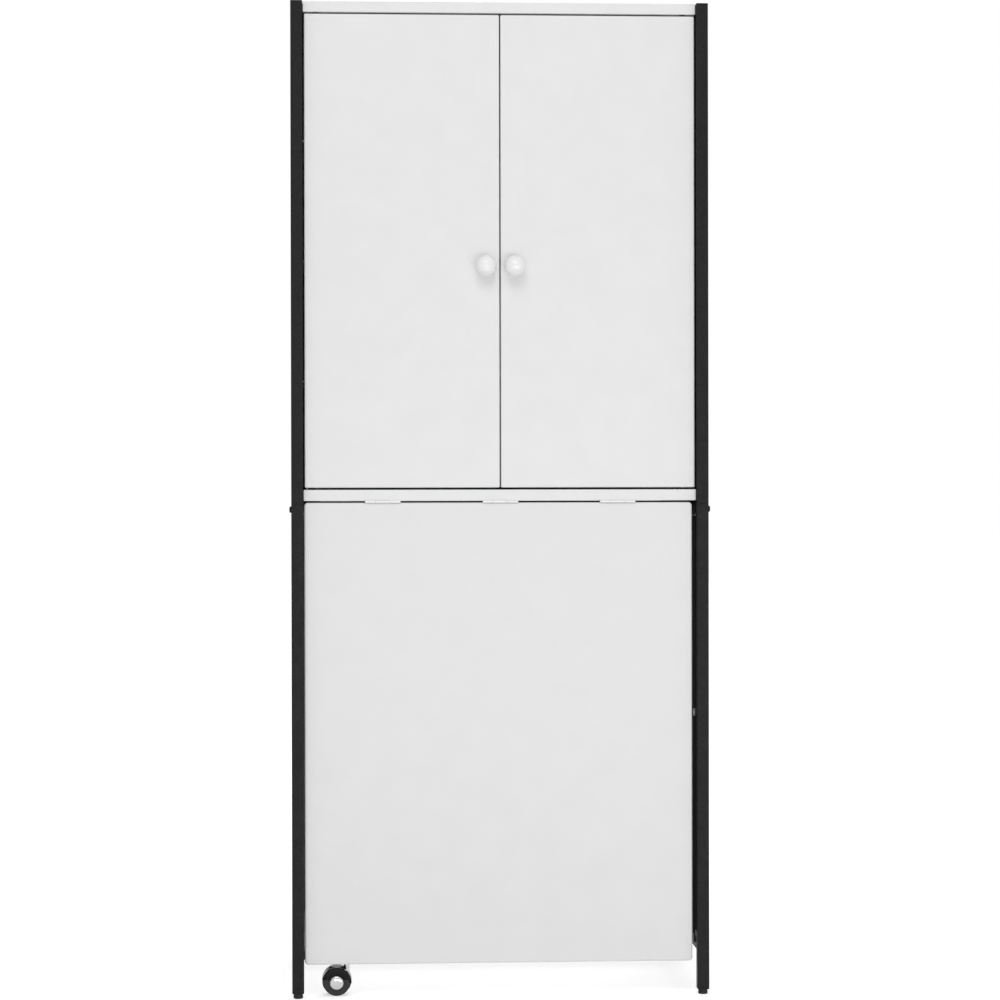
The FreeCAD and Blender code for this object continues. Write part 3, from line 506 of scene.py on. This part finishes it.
def glides():
    """Moulded glides in the feet: a turned pad under a thin square collar."""
    low, high = cad_box("foot_glides")
    collar = cad_box("left_lower_frame")[0].z
    pad = collar - COLLAR_THICK
    profile = [(0, 0), (6.2, 0), *arc((6.7, 1.5), (1.5, 1.5), -90, 0, 5), (8.2, 3.4), (7.8, 6.6),
               (7.9, pad + PAD_SUNK), (0, pad + PAD_SUNK)]
    rows = [(15.0, pad), (TUBE - 1.0, pad), (COLLAR, pad + COLLAR_EASE), (COLLAR, collar)]
    bm = bmesh.new()
    for x in (low.x + TUBE / 2, high.x - TUBE / 2):
        for y in (low.y + TUBE / 2, high.y - TUBE / 2):
            place = Matrix.Translation((x, y, 0))
            lathe(bm, profile, place)
            stack(bm, [square_ring(bm, place, side, CORNER, z) for side, z in rows])
    stand_in("moulded_glides", bm, "foot_glides")


# Fasteners

BOLT_HEAD = 5.5
BOLT_KEY = 2.0
SEAM_SHANK = 15
BAR_SHANK = 35
SCREW_HEAD = 4.0
SCREW_TALL = 2.0
SCREW_SHANK = 14
KNOB_SHANK = 30


def button_bolt(bm, spot, way, shank):
    """A button-head bolt with a hexagon socket, its head standing along way from spot."""
    key = hexagon(BOLT_KEY)
    profile = [(0, -shank), (2.4, -shank), (3, 0.8 - shank), (3, 0), (BOLT_HEAD - 0.3, 0), (BOLT_HEAD, 0.3),
               *arc((2.9, 0.6), (BOLT_HEAD - 2.9, 2.8), 0, 78, 8), (2.75, 3.4), (lambda a: key(a) + 0.12, 3.4),
               (key, 3.25), (key, 1.5), (0, 1.1)]
    lathe(bm, profile, facing(spot, way))


def pan_screw(bm, spot, way, shank, head=SCREW_HEAD, tall=SCREW_TALL):
    """A pan-head screw with a cross recess, its head standing along way from spot."""
    slot = cross(0.52 * head, 0.13 * head)
    profile = [(0, -shank), (0.8, -shank + 1.2), (1.9, -shank + 3.2), (1.9, 0), (head - 0.2, 0), (head, 0.25),
               *arc((0.62 * head, 0.3), (0.38 * head, tall - 0.3), 0, 84, 7),
               (lambda a: slot(a) + 0.08, tall), (slot, tall - 0.12), (slot, 0.45 * tall), (0, 0.3 * tall)]
    lathe(bm, profile, facing(spot, way), 64)


def bolts():
    """Bolts at the post seams and at the crossbars' ends."""
    skin = abs(cad_box("left_lower_frame")[0].x)
    low, high = cad_box("joint_bolts")
    seam_z = (low.z + high.z) / 2
    bm = bmesh.new()
    for _, sign in SIDES:
        for y in (low.y + BOLT_HEAD, high.y - BOLT_HEAD):
            button_bolt(bm, (sign * skin, y, seam_z), (sign, 0, 0), SEAM_SHANK)
    stand_in("seam_bolts", bm, "joint_bolts")

    bm = bmesh.new()
    for name in ("rear_lower_crossbar", "rear_upper_crossbar", "front_crossbar"):
        low, high = cad_box(name)
        z = seam_z if name == "front_crossbar" else (low.z + high.z) / 2
        for _, sign in SIDES:
            button_bolt(bm, (sign * skin, (low.y + high.y) / 2, z), (sign, 0, 0), BAR_SHANK)
    stand_in("bar_bolts", bm, "crossbar_bolts")


def screws():
    """Screws under the boards, in the back panel and behind the knobs."""
    low, high = cad_box("board_screws")
    bm = bmesh.new()
    for board in BOARDS:
        z = cad_box(board)[0].z - TAB_THICK
        for x in (low.x + SCREW_HEAD, high.x - SCREW_HEAD):
            for y in (low.y + SCREW_HEAD, high.y - SCREW_HEAD):
                pan_screw(bm, (x, y, z), (0, 0, -1), SCREW_SHANK)
    stand_in("board_fixings", bm, "board_screws")

    low, high = cad_box("back_panel_screws")
    rear = cad_box("back_panel")[1].y
    bm = bmesh.new()
    for x in (low.x + SCREW_HEAD, 0, high.x - SCREW_HEAD):
        for z in (low.z + SCREW_HEAD, high.z - SCREW_HEAD):
            pan_screw(bm, (x, rear, z), (0, 1, 0), SCREW_SHANK)
    stand_in("back_fixings", bm, "back_panel_screws")

    for side, _ in SIDES:
        low, high = cad_box(f"{side}_knob_screw")
        behind = cad_box(f"{side}_door_panel")[1].y
        bm = bmesh.new()
        pan_screw(bm, ((low.x + high.x) / 2, behind, (low.z + high.z) / 2), (0, 1, 0), KNOB_SHANK)
        stand_in(f"{side}_knob_fixing", bm, f"{side}_knob_screw")


# Doors

KNOB_NECK = 8.4


def knobs():
    """Turned ball knobs on a small round foot."""
    foot = [(0, 0), (10.6, 0), (11, 0.4), *arc((10.2, 1.5), (0.8, 1.0), 0, 90, 4)]
    neck = [(8.9, 2.7), (8.3, 3.2)]
    for side, _ in SIDES:
        low, high = cad_box(f"{side}_knob")
        middle = (low + high) / 2
        ball = (high.x - low.x) / 2
        reach = high.y - low.y
        start = -math.degrees(math.acos(KNOB_NECK / ball))
        profile = foot + neck + arc((0, reach - ball), (ball, ball), start, 89.0, 40) + [(0, reach)]
        bm = bmesh.new()
        lathe(bm, profile, facing((middle.x, high.y, middle.z), (0, -1, 0)), 64)
        stand_in(f"{side}_turned_knob", bm, f"{side}_knob")


CATCH_LENGTH = 40.0
CATCH_EASE = 1.2
POLE_PROUD = 0.5
POLE_HALF = 11
POLE_THICK = 1.8
POLE_EASE = 0.25
POLE_LOW = 2.2
POLE_HIGH = 4.0
POLE_SHORT = 3
CATCH_SCREW_AT = 15.5
CATCH_SCREW_SHANK = 9
CATCH_SCREW_HEAD = 3.0
CATCH_SCREW_TALL = 0.6
STRIKE_EASE = 0.35


def catches():
    """Magnetic catches, each an eased case with two steel poles and two screws, and eased strike plates."""
    low, high = cad_box("door_catches")
    half = CATCH_LENGTH / 2
    case, poles = bmesh.new(), bmesh.new()
    for x in (low.x + half, high.x - half):
        block(case, (x - half, low.y + POLE_PROUD, low.z), (x + half, high.y, high.z), CATCH_EASE, 3)
        for z in (low.z + POLE_LOW, high.z - POLE_HIGH):
            end = (x + POLE_HALF, high.y - POLE_SHORT, z + POLE_THICK)
            block(poles, (x - POLE_HALF, low.y, z), end, POLE_EASE)
        for offset in (-CATCH_SCREW_AT, CATCH_SCREW_AT):
            spot = (x + offset, (low.y + high.y) / 2, low.z + CATCH_SCREW_TALL)
            pan_screw(poles, spot, (0, 0, -1), CATCH_SCREW_SHANK, CATCH_SCREW_HEAD, CATCH_SCREW_TALL)
    stand_in("catch_cases", case, "door_catches")
    piece("catch_poles", poles, "cabinet", FINISH["zinc_steel"])
    for side, _ in SIDES:
        bm = bmesh.new()
        block(bm, *cad_box(f"{side}_strike_plate"), STRIKE_EASE)
        stand_in(f"{side}_strike", bm, f"{side}_strike_plate")


# Leaf hinges

HINGE_LENGTH = 60.0
HINGE_PLATE = 1.2
# The plate between leaf and table starts a little behind their front, and straps lead from it to the knuckles
PLATE_BACK = 0.3
PLATE_DEPTH = 18
PLATE_EASE = 0.2
STRAP_LAP = 1
STRAP_EASE = 0.15
KNUCKLE = 17.0
KNUCKLE_GAP = 0.8
KNUCKLE_EASE = 0.4
KNUCKLE_DISH = 0.2
PIN_CLEAR = 0.05


def knuckle_profile(barrel, bore, length):
    """A tube with eased and slightly dished ends that returns to its first point."""
    edge = barrel - KNUCKLE_EASE
    ease = (KNUCKLE_EASE, KNUCKLE_EASE)
    return [(bore, KNUCKLE_DISH), (edge - 0.1, 0), *arc((edge, KNUCKLE_EASE), ease, -90, 0, 3),
            *arc((edge, length - KNUCKLE_EASE), ease, 0, 90, 3), (bore, length - KNUCKLE_DISH), (bore, KNUCKLE_DISH)]


def hinges():
    """Butt hinges: thin plates in the gap and three eased knuckles each on the barrel line."""
    low, high = cad_box("leaf_hinge_pins")
    y, z = (low.y + high.y) / 2, (low.z + high.z) / 2
    barrel = y - cad_box("lower_hinge_plates")[0].y
    bore = (high.z - low.z) / 2 + PIN_CLEAR
    face, leaf = cad_box("leaf_panel")[0].y, cad_box("leaf_panel")[1].z
    under_table = cad_box("table_board")[0].z - HINGE_PLATE
    upper, lower = bmesh.new(), bmesh.new()
    pitch = (high.x - low.x - HINGE_LENGTH) / 2
    for centre in (-pitch, 0, pitch):
        left = centre - HINGE_LENGTH / 2
        spans = ((upper, left, KNUCKLE),
                 (lower, left + KNUCKLE + KNUCKLE_GAP, HINGE_LENGTH - 2 * KNUCKLE - 2 * KNUCKLE_GAP),
                 (upper, left + HINGE_LENGTH - KNUCKLE, KNUCKLE))
        for bm, x, length in spans:
            lathe(bm, knuckle_profile(barrel, bore, length), facing((x, y, z), (1, 0, 0)), 32)
            base = under_table if bm is upper else leaf
            end = (x + length, face + STRAP_LAP, base + HINGE_PLATE)
            block(bm, (x, y + bore, base), end, STRAP_EASE, 1)
        for bm, base in ((upper, under_table), (lower, leaf)):
            end = (left + HINGE_LENGTH, face + PLATE_DEPTH, base + HINGE_PLATE)
            block(bm, (left, face + PLATE_BACK, base), end, PLATE_EASE, 1)
    stand_in("upper_hinge_halves", upper, "upper_hinge_plates")
    stand_in("lower_hinge_halves", lower, "lower_hinge_plates")


# Caster

HOOD_GAP = 0.8
HOOD_CHEEK = 1.5
HOOD_SOFT = 3.0
HOOD_RISE = 5.0
CAP_CLEAR = 1
SKIRT_SOFT = 1.2
SKIRT_INSET = 0.2
SKIRT_SPAN = (math.radians(-3), math.radians(12))
# The neck and the web end within the shell's thickness, so that the neck stays clear of the wheels
SHELL_SUNK = 0.8
NECK_FOOT = 15.6
NECK_HEAD = 13.1
NECK_TOP = 11.4
NECK_DROP = 1.4
NECK_SOFT = 1.2
WEB_HALF = 7.0
WEB_DROP = 12.0
WEB_EASE = 0.5
# Own X to the right, own Y up and own Z towards the front
FRONTWARD = Matrix(((1, 0, 0, 0), (0, 0, -1, 0), (0, 1, 0, 0), (0, 0, 0, 1)))


def wheel_centre():
    """Middle of the front wheel; the rear one shares its axle."""
    low, high = cad_box("front_caster_wheel")
    return (low + high) / 2


def caster_shell():
    """The hood over both wheels, with rounded rim, skirt and neck, and the web between the wheels."""
    low, high = cad_box("caster_hood")
    axle = wheel_centre()
    outer = (high.x - low.x) / 2
    inner = cad_box("front_caster_wheel")[1].z - axle.z + HOOD_GAP
    half = (high.y - low.y) / 2
    cheek = half - HOOD_CHEEK
    cap_low, cap_high = cad_box("front_hub_cap")
    hole = (cap_high.x - cap_low.x) / 2 + CAP_CLEAR
    upright = Matrix.Translation((axle.x, (low.y + high.y) / 2, axle.z))
    place = upright @ FRONTWARD

    bm = bmesh.new()
    lip = [(hole + 0.5, cheek), (hole, cheek + 0.4), (hole, half - 0.5), (hole + 0.5, half)]
    front = lip + arc((outer - HOOD_SOFT, half - HOOD_SOFT), (HOOD_SOFT, HOOD_SOFT), 90, 0, 6)
    sector(bm, [*front, *mirrored(front), (inner, -cheek), (inner, cheek)], place,
           lambda r: (math.asin(HOOD_RISE / r), math.pi - math.asin(HOOD_RISE / r)), 48)
    skirt = arc((outer - SKIRT_SOFT, half - SKIRT_SOFT), (SKIRT_SOFT, SKIRT_SOFT), 90, 0, 3)
    sector(bm, [*skirt, *mirrored(skirt), (inner, SKIRT_INSET - half), (inner, half - SKIRT_INSET)], place,
           lambda r: SKIRT_SPAN, 6)

    within = outer - SHELL_SUNK
    top = high.z - axle.z

    def saddle(r):
        """A ring of the neck's foot, which follows the round shell."""
        return r, lambda a: math.sqrt(within ** 2 - (r * math.cos(a)) ** 2)

    foot = [(0, within), *[saddle(NECK_FOOT * i / 4) for i in range(1, 5)]]
    head = arc((NECK_TOP, top - NECK_SOFT), (NECK_SOFT, NECK_SOFT), 20, 90, 4)
    lathe(bm, [*foot, (NECK_HEAD, top - NECK_DROP), *head, (0, top)], upright, 64)

    flat = WEB_HALF - WEB_EASE
    start = -math.degrees(math.asin(WEB_DROP / within))
    rings = []
    for depth, inset in ((-WEB_HALF, WEB_EASE), (-flat, 0), (flat, 0), (WEB_HALF, WEB_EASE)):
        outline = arc((0, 0), (within - inset, within - inset), start, 180 - start, 40)
        rings.append([bm.verts.new(place @ Vector((u, v, depth))) for u, v in outline])
    stack(bm, rings)
    stand_in("caster_shell", bm, "caster_hood")


HUB_BORE = 3.1
TREAD_INNER = 2
TREAD_OUTER = 2.6
GROOVE_DEPTH = 0.35
GROOVE_TOP = 0.5
GROOVE_FLOOR = 0.2


def wheel_profile(radius, width):
    """A wheel from its inner face over the grooved tread to its ringed outer face, and back through the bore."""
    inner_face = [(HUB_BORE, 0.4), (8, 0), (radius - 4, 0)]
    middle, floor = width / 2, radius - GROOVE_DEPTH
    groove = [(radius, middle - GROOVE_TOP), (floor, middle - GROOVE_FLOOR),
              (floor, middle + GROOVE_FLOOR), (radius, middle + GROOVE_TOP)]
    tread = [*arc((radius - TREAD_INNER, TREAD_INNER), (TREAD_INNER, TREAD_INNER), -90, 0, 5), *groove,
             *arc((radius - TREAD_OUTER, width - TREAD_OUTER), (TREAD_OUTER, TREAD_OUTER), 0, 90, 7)]
    outer_face = [(14.6, width), (14.2, width - 0.35), (13.0, width - 0.35), (12.7, width), (HUB_BORE, width)]
    return inner_face + tread + outer_face + inner_face[:1]


CAP_RIM = 0.7
# Below 1, the cap's face is flatter and its shoulder fuller than an ellipse's
CAP_SHAPE = 0.7
CAP_STEPS = 24


def cap_profile(edge, proud):
    """A cap with a short rim and a domed face."""
    profile = [(0, 0), (edge, 0), (edge, CAP_RIM)]
    for i in range(1, CAP_STEPS):
        t = math.radians(90 * i / CAP_STEPS)
        profile.append((edge * math.cos(t) ** CAP_SHAPE, CAP_RIM + (proud - CAP_RIM) * math.sin(t) ** CAP_SHAPE))
    return [*profile, (0, proud)]


def turn_on_axle(name, node, way, profile, steps):
    """Turns a profile on the caster's axle, from the node's inner face outwards along Y."""
    low, high = cad_box(node)
    axle = wheel_centre()
    inside = high.y if way < 0 else low.y
    bm = bmesh.new()
    lathe(bm, profile, facing((axle.x, inside, axle.z), (0, way, 0)), steps)
    stand_in(name, bm, node)


def caster_wheels():
    """Twin wheels with grooved treads, and their domed hub caps."""
    radius = cad_box("front_caster_wheel")[1].z - wheel_centre().z
    for name, way in (("front", -1), ("rear", 1)):
        wheel, cap = f"{name}_caster_wheel", f"{name}_hub_cap"
        low, high = cad_box(wheel)
        turn_on_axle(f"{name}_treaded_wheel", wheel, way, wheel_profile(radius, high.y - low.y), 72)
        low, high = cad_box(cap)
        turn_on_axle(f"{name}_domed_cap", cap, way, cap_profile((high.x - low.x) / 2, high.y - low.y), 64)


STOP_EASE = 0.35


def gate_stop():
    """The gate's small steel stop with eased edges."""
    bm = bmesh.new()
    block(bm, *cad_box("gate_stop"), STOP_EASE)
    stand_in("eased_stop", bm, "gate_stop")


# Studio, in metres and watts

WHITE = (1, 1, 1, 1)
AMBIENT = 0.55
FLOOR_REACH = 20.0
FLOOR_DROP = 0.0002
FLOOR_WHITE = (0.85, 0.85, 0.85, 1)
# The floor's own glow, weaker within reach of the object's shadow
GLOW_NEAR, GLOW_FAR = 0.5, 0.75
GLOW_FROM, GLOW_TO = 0.4, 1.8
# Name, place, aim, size and power of each lamp
LAMPS = (
    ("key", (-0.4, -3.4, 3.9), (0, 0, 1.3), (2.6, 1.8), 47),
    ("fill", (0.5, -3.4, 0.2), (0, 0, 0.2), (3.0, 1.0), 36),
    ("back", (0.6, 3.2, 3.0), (0, 0, 0.9), (2.4, 1.6), 45),
)


def seen_rays(tree):
    """1 for camera, glossy and transmission rays, 0 for the light that falls on the object."""
    path = tree.nodes.new("ShaderNodeLightPath")
    total = path.outputs["Is Camera Ray"]
    for ray in ("Is Glossy Ray", "Is Transmission Ray"):
        larger = tree.nodes.new("ShaderNodeMath")
        larger.operation = "MAXIMUM"
        tree.links.new(total, larger.inputs[0])
        tree.links.new(path.outputs[ray], larger.inputs[1])
        total = larger.outputs[0]
    return total


def surroundings():
    """White where it is seen, and a plain even light on the object."""
    world = bpy.data.worlds.new("studio")
    bpy.context.scene.world = world
    world.use_nodes = True
    tree = world.node_tree
    tree.nodes.clear()
    out = tree.nodes.new("ShaderNodeOutputWorld")
    mix = tree.nodes.new("ShaderNodeMixShader")
    ambient = add(tree, "ShaderNodeBackground", Color=WHITE, Strength=AMBIENT)
    shown = add(tree, "ShaderNodeBackground", Color=WHITE, Strength=1.0)
    tree.links.new(seen_rays(tree), mix.inputs[0])
    tree.links.new(ambient.outputs[0], mix.inputs[1])
    tree.links.new(shown.outputs[0], mix.inputs[2])
    tree.links.new(mix.outputs[0], out.inputs["Surface"])


def floor_white():
    """Matt white that adds a glow of its own only where it is seen, so that it keeps a soft shadow."""
    mat = bpy.data.materials.new("floor")
    mat.use_nodes = True
    tree = mat.node_tree
    tree.nodes.clear()
    out = tree.nodes.new("ShaderNodeOutputMaterial")
    matt = add(tree, "ShaderNodeBsdfDiffuse", Color=FLOOR_WHITE)
    glow = add(tree, "ShaderNodeEmission", Color=WHITE)
    spot = tree.nodes.new("ShaderNodeNewGeometry")
    away = tree.nodes.new("ShaderNodeVectorMath")
    away.operation = "LENGTH"
    ramp = add(tree, "ShaderNodeMapRange", From_Min=GLOW_FROM, From_Max=GLOW_TO, To_Min=GLOW_NEAR, To_Max=GLOW_FAR)
    strength = tree.nodes.new("ShaderNodeMath")
    strength.operation = "MULTIPLY"
    both = tree.nodes.new("ShaderNodeAddShader")
    tree.links.new(spot.outputs["Position"], away.inputs[0])
    tree.links.new(away.outputs["Value"], ramp.inputs["Value"])
    tree.links.new(seen_rays(tree), strength.inputs[0])
    tree.links.new(ramp.outputs["Result"], strength.inputs[1])
    tree.links.new(strength.outputs[0], glow.inputs["Strength"])
    tree.links.new(matt.outputs[0], both.inputs[0])
    tree.links.new(glow.outputs[0], both.inputs[1])
    tree.links.new(both.outputs[0], out.inputs["Surface"])
    return mat


def floor():
    """A wide white floor, just under the feet."""
    mesh = bpy.data.meshes.new("floor")
    r = FLOOR_REACH
    mesh.from_pydata([(-r, -r, 0), (r, -r, 0), (r, r, 0), (-r, r, 0)], [], [(0, 1, 2, 3)])
    mesh.materials.append(floor_white())
    ground = bpy.data.objects.new("floor", mesh)
    ground.location.z = -FLOOR_DROP
    bpy.context.scene.collection.objects.link(ground)


def lamps():
    """Soft rectangular lamps that the camera doesn't see."""
    for name, spot, target, size, power in LAMPS:
        light = bpy.data.lights.new(name, "AREA")
        light.shape = "RECTANGLE"
        light.size, light.size_y = size
        light.energy = power
        lamp = bpy.data.objects.new(name, light)
        bpy.context.scene.collection.objects.link(lamp)
        lamp.location = spot
        lamp.rotation_euler = (Vector(target) - Vector(spot)).to_track_quat("-Z", "Y").to_euler()
        lamp.visible_camera = False


# Camera, at the photograph's viewing angle

CAMERA_AIM = Vector((-0.0011, -0.18, 0.8442))
CAMERA_DISTANCE = 4.6
CAMERA_AZIMUTH = math.radians(-3.146)
CAMERA_RISE = math.radians(0.256)
CAMERA_ROLL = math.radians(-0.104)
FOCAL_PIXELS = 2705.9
IMAGE_PIXELS = 1000
SENSOR = 36.0


def camera():
    """A camera that looks at the aim from the given side, distance and height."""
    data = bpy.data.cameras.new("camera")
    data.sensor_fit = "HORIZONTAL"
    data.sensor_width = SENSOR
    data.lens = SENSOR * FOCAL_PIXELS / IMAGE_PIXELS
    cam = bpy.data.objects.new("camera", data)
    bpy.context.scene.collection.objects.link(cam)
    flat = math.cos(CAMERA_RISE)
    away = Vector((math.sin(CAMERA_AZIMUTH) * flat, -math.cos(CAMERA_AZIMUTH) * flat, math.sin(CAMERA_RISE)))
    place = Matrix.Translation(CAMERA_AIM + CAMERA_DISTANCE * away)
    turn = (-away).to_track_quat("-Z", "Y").to_matrix().to_4x4()
    cam.matrix_world = place @ turn @ Matrix.Rotation(CAMERA_ROLL, 4, "Z")
    bpy.context.scene.camera = cam
    bpy.context.scene.view_settings.view_transform = "Standard"


dress_cad()
side_frames()
gate_tubes()
glides()
bolts()
screws()
knobs()
catches()
hinges()
caster_shell()
caster_wheels()
gate_stop()
surroundings()
floor()
lamps()
camera()
